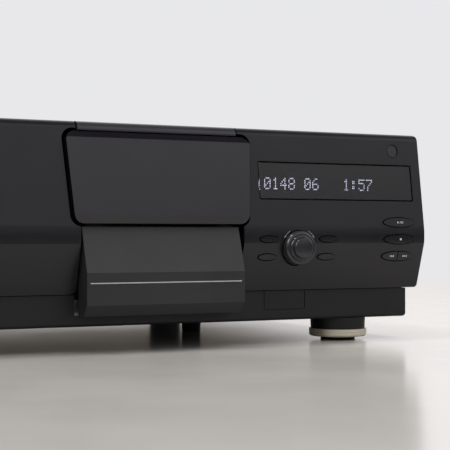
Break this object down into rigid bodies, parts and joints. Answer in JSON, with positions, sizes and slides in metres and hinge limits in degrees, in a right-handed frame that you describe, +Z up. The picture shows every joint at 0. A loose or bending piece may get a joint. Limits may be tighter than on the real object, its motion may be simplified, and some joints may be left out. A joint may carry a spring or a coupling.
{
  "type": "multi disc cd changer",
  "caption": "Disc changer cabinet with a drop-down front door, smoked windows, keys, jog knob and a turning carousel of radial disc slots round an upright player mechanism.",
  "frame": {"origin": "on the floor, under the middle of the whole part's bounding box", "axes": "+X to the right across the front, +Y from the front to the back, +Z up"},
  "size_m": [0.44, 0.4328, 0.1585],
  "materials": {
    "fascia_plastic": "fine satin moulded black",
    "plinth_plastic": "fine satin moulded black",
    "header_plastic": "fine satin moulded black",
    "display_acrylic": "smoked glossy",
    "tube_glass": "clear glass tube",
    "eye_acrylic": "smoked glossy",
    "circuit_board": "solder mask",
    "switch_plastic": "moulded",
    "lamp_lens": "tinted lens, unlit",
    "encoder_metal": "nickel plated",
    "knob_plastic": "satin with a polished edge",
    "bracket_plastic": "moulded",
    "damper_plastic": "moulded",
    "gear_plastic": "natural acetal",
    "latch_plastic": "moulded",
    "plunger_plastic": "natural acetal",
    "window_acrylic": "smoked glossy",
    "door_frame_plastic": "moulded",
    "panel_plastic": "fine satin moulded",
    "line_metal": "hot stamped silver",
    "sector_plastic": "moulded",
    "pin_steel": "ground",
    "tray_plastic": "moulded black",
    "rack_plastic": "moulded black",
    "guide_plastic": "natural acetal",
    "pinion_plastic": "natural acetal",
    "motor_steel": "zinc plated",
    "mechanism_plastic": "glass filled moulding",
    "rod_steel": "ground",
    "small_motor_steel": "zinc plated",
    "turntable_plastic": "moulded with a rubber ring",
    "sled_plastic": "moulded",
    "sled_gear_plastic": "natural acetal",
    "stand_plastic": "glass filled moulding",
    "arm_plastic": "moulded",
    "puck_plastic": "natural acetal",
    "lever_plastic": "natural acetal",
    "chassis_steel": "zinc plated sheet",
    "cover_paint": "textured black paint on sheet steel",
    "rear_paint": "textured black paint on sheet steel",
    "socket_plastic": "moulded",
    "jack_metal": "gold flashed",
    "inlet_plastic": "moulded",
    "main_board_laminate": "solder mask",
    "transformer_steel": "varnished laminations",
    "foot_plastic": "moulded",
    "ring_metal": "champagne anodised",
    "pad_rubber": "matt",
    "rear_foot_rubber": "matt",
    "screw_steel": "black zinc",
    "key_plastic": "fine satin moulded black"
  },
  "bodies": {
    "cabinet": {"front_fascia": "fascia_plastic", "front_plinth": "plinth_plastic", "header_bar": "header_plastic", "display_window": "display_acrylic", "display_tube": "tube_glass", "remote_eye": "eye_acrylic", "control_boards": "circuit_board", "key_switches": "switch_plastic", "standby_lamp": "lamp_lens", "jog_encoder": "encoder_metal", "hinge_brackets": "bracket_plastic", "damper_case": "damper_plastic", "latch_case": "latch_plastic", "carousel_guide_ring": "guide_plastic", "carousel_motor": "motor_steel", "mechanism_plate": "mechanism_plastic", "guide_rods": "rod_steel", "mechanism_motors": "small_motor_steel", "mechanism_stands": "stand_plastic", "bottom_chassis": "chassis_steel", "top_cover": "cover_paint", "rear_panel": "rear_paint", "rear_sockets": "socket_plastic", "phono_jacks": "jack_metal", "mains_inlet": "inlet_plastic", "main_board": "main_board_laminate", "power_transformer": "transformer_steel", "front_feet": "foot_plastic", "foot_rings": "ring_metal", "foot_pads": "pad_rubber", "rear_feet": "rear_foot_rubber", "cover_screws": "screw_steel"},
    "door": {"door_window": "window_acrylic", "door_frame": "door_frame_plastic", "door_panel": "panel_plastic", "door_line": "line_metal", "door_sector": "sector_plastic", "door_hinge_pins": "pin_steel"},
    "damper_pinion": {"damper_pinion": "gear_plastic"},
    "latch_plunger": {"latch_plunger": "plunger_plastic"},
    "carousel": {"carousel_tray": "tray_plastic", "disc_rack": "rack_plastic"},
    "carousel_pinion": {"carousel_pinion": "pinion_plastic"},
    "jog_knob": {"jog_knob": "knob_plastic"},
    "turntable": {"turntable": "turntable_plastic"},
    "pickup_sled": {"pickup_sled": "sled_plastic"},
    "sled_gear": {"sled_gear": "sled_gear_plastic"},
    "clamp_arm": {"clamp_arm": "arm_plastic"},
    "clamp_puck": {"clamp_puck": "puck_plastic"},
    "disc_lever": {"disc_lever": "lever_plastic"},
    "key_upper_left": {"key_upper_left": "key_plastic"},
    "key_upper_right": {"key_upper_right": "key_plastic"},
    "key_lower_left": {"key_lower_left": "key_plastic"},
    "key_lower_right": {"key_lower_right": "key_plastic"},
    "play_key": {"play_key": "key_plastic"},
    "stop_key": {"stop_key": "key_plastic"},
    "skip_back_key": {"skip_back_key": "key_plastic"},
    "skip_forward_key": {"skip_forward_key": "key_plastic"},
    "power_key": {"power_key": "key_plastic"}
  },
  "joints": [
    {"name": "door_hinge", "type": "hinge", "parent": "cabinet", "child": "door", "pos_m": [0, -0.2022, 0.031], "axis": [1, 0, 0], "range_deg": [0, 75]},
    {"name": "damper_spin", "type": "hinge", "parent": "cabinet", "child": "damper_pinion", "pos_m": [0, -0.19462, 0.04412], "axis": [1, 0, 0], "range_deg": [-151, 1]},
    {"name": "latch_press", "type": "slide", "parent": "cabinet", "child": "latch_plunger", "axis": [0, 1, 0], "range_m": [0, 0.0025], "stiffness_N_per_m": 400},
    {"name": "carousel_turn", "type": "hinge", "parent": "cabinet", "child": "carousel", "pos_m": [0, 0.0058, 0], "axis": [0, 0, 1], "continuous": true},
    {"name": "carousel_pinion_spin", "type": "hinge", "parent": "cabinet", "child": "carousel_pinion", "pos_m": [-0.15044, -0.14464, 0], "axis": [0, 0, 1], "continuous": true},
    {"name": "jog_turn", "type": "hinge", "parent": "cabinet", "child": "jog_knob", "pos_m": [0.1078, -0.1982, 0.071], "axis": [0, -1, 0], "continuous": true},
    {"name": "turntable_spin", "type": "hinge", "parent": "cabinet", "child": "turntable", "pos_m": [0, 0.0058, 0.0885], "axis": [1, 0, 0], "continuous": true},
    {"name": "sled_travel", "type": "slide", "parent": "cabinet", "child": "pickup_sled", "axis": [0, 1, 0], "range_m": [0, 0.033]},
    {"name": "sled_gear_spin", "type": "hinge", "parent": "cabinet", "child": "sled_gear", "pos_m": [0, 0.0318, 0.05885], "axis": [1, 0, 0], "range_deg": [-238, 1]},
    {"name": "clamp_lift", "type": "hinge", "parent": "cabinet", "child": "clamp_arm", "pos_m": [-0.024, 0.0058, 0.122], "axis": [0, 1, 0], "range_deg": [0, 13], "stiffness_Nm_per_rad": 0.03, "springref_deg": -17.19},
    {"name": "clamp_puck_spin", "type": "hinge", "parent": "clamp_arm", "child": "clamp_puck", "pos_m": [0, 0.0058, 0.0885], "axis": [1, 0, 0], "continuous": true},
    {"name": "disc_lever_swing", "type": "hinge", "parent": "cabinet", "child": "disc_lever", "pos_m": [0, 0.0518, 0.025], "axis": [1, 0, 0], "range_deg": [0, 50]},
    {"name": "key_upper_left_press", "type": "slide", "parent": "cabinet", "child": "key_upper_left", "axis": [0, 1, 0], "range_m": [0, 0.0009], "stiffness_N_per_m": 400},
    {"name": "key_upper_right_press", "type": "slide", "parent": "cabinet", "child": "key_upper_right", "axis": [0, 1, 0], "range_m": [0, 0.0009], "stiffness_N_per_m": 400},
    {"name": "key_lower_left_press", "type": "slide", "parent": "cabinet", "child": "key_lower_left", "axis": [0, 1, 0], "range_m": [0, 0.0009], "stiffness_N_per_m": 400},
    {"name": "key_lower_right_press", "type": "slide", "parent": "cabinet", "child": "key_lower_right", "axis": [0, 1, 0], "range_m": [0, 0.0009], "stiffness_N_per_m": 400},
    {"name": "play_key_press", "type": "slide", "parent": "cabinet", "child": "play_key", "axis": [0, 1, 0], "range_m": [0, 0.0009], "stiffness_N_per_m": 400},
    {"name": "stop_key_press", "type": "slide", "parent": "cabinet", "child": "stop_key", "axis": [0, 1, 0], "range_m": [0, 0.0009], "stiffness_N_per_m": 400},
    {"name": "skip_back_key_press", "type": "slide", "parent": "cabinet", "child": "skip_back_key", "axis": [0, 1, 0], "range_m": [0, 0.0009], "stiffness_N_per_m": 400},
    {"name": "skip_forward_key_press", "type": "slide", "parent": "cabinet", "child": "skip_forward_key", "axis": [0, 1, 0], "range_m": [0, 0.0009], "stiffness_N_per_m": 400},
    {"name": "power_key_press", "type": "slide", "parent": "cabinet", "child": "power_key", "axis": [0, 1, 0], "range_m": [0, 0.0009], "stiffness_N_per_m": 400}
  ],
  "couplings": [
    {"joint": "damper_spin", "follows": "door_hinge", "ratio": -2},
    {"joint": "carousel_pinion_spin", "follows": "carousel_turn", "ratio": -11.143},
    {"joint": "sled_gear_spin", "follows": "sled_travel", "rad_per_m": -125}
  ]
}
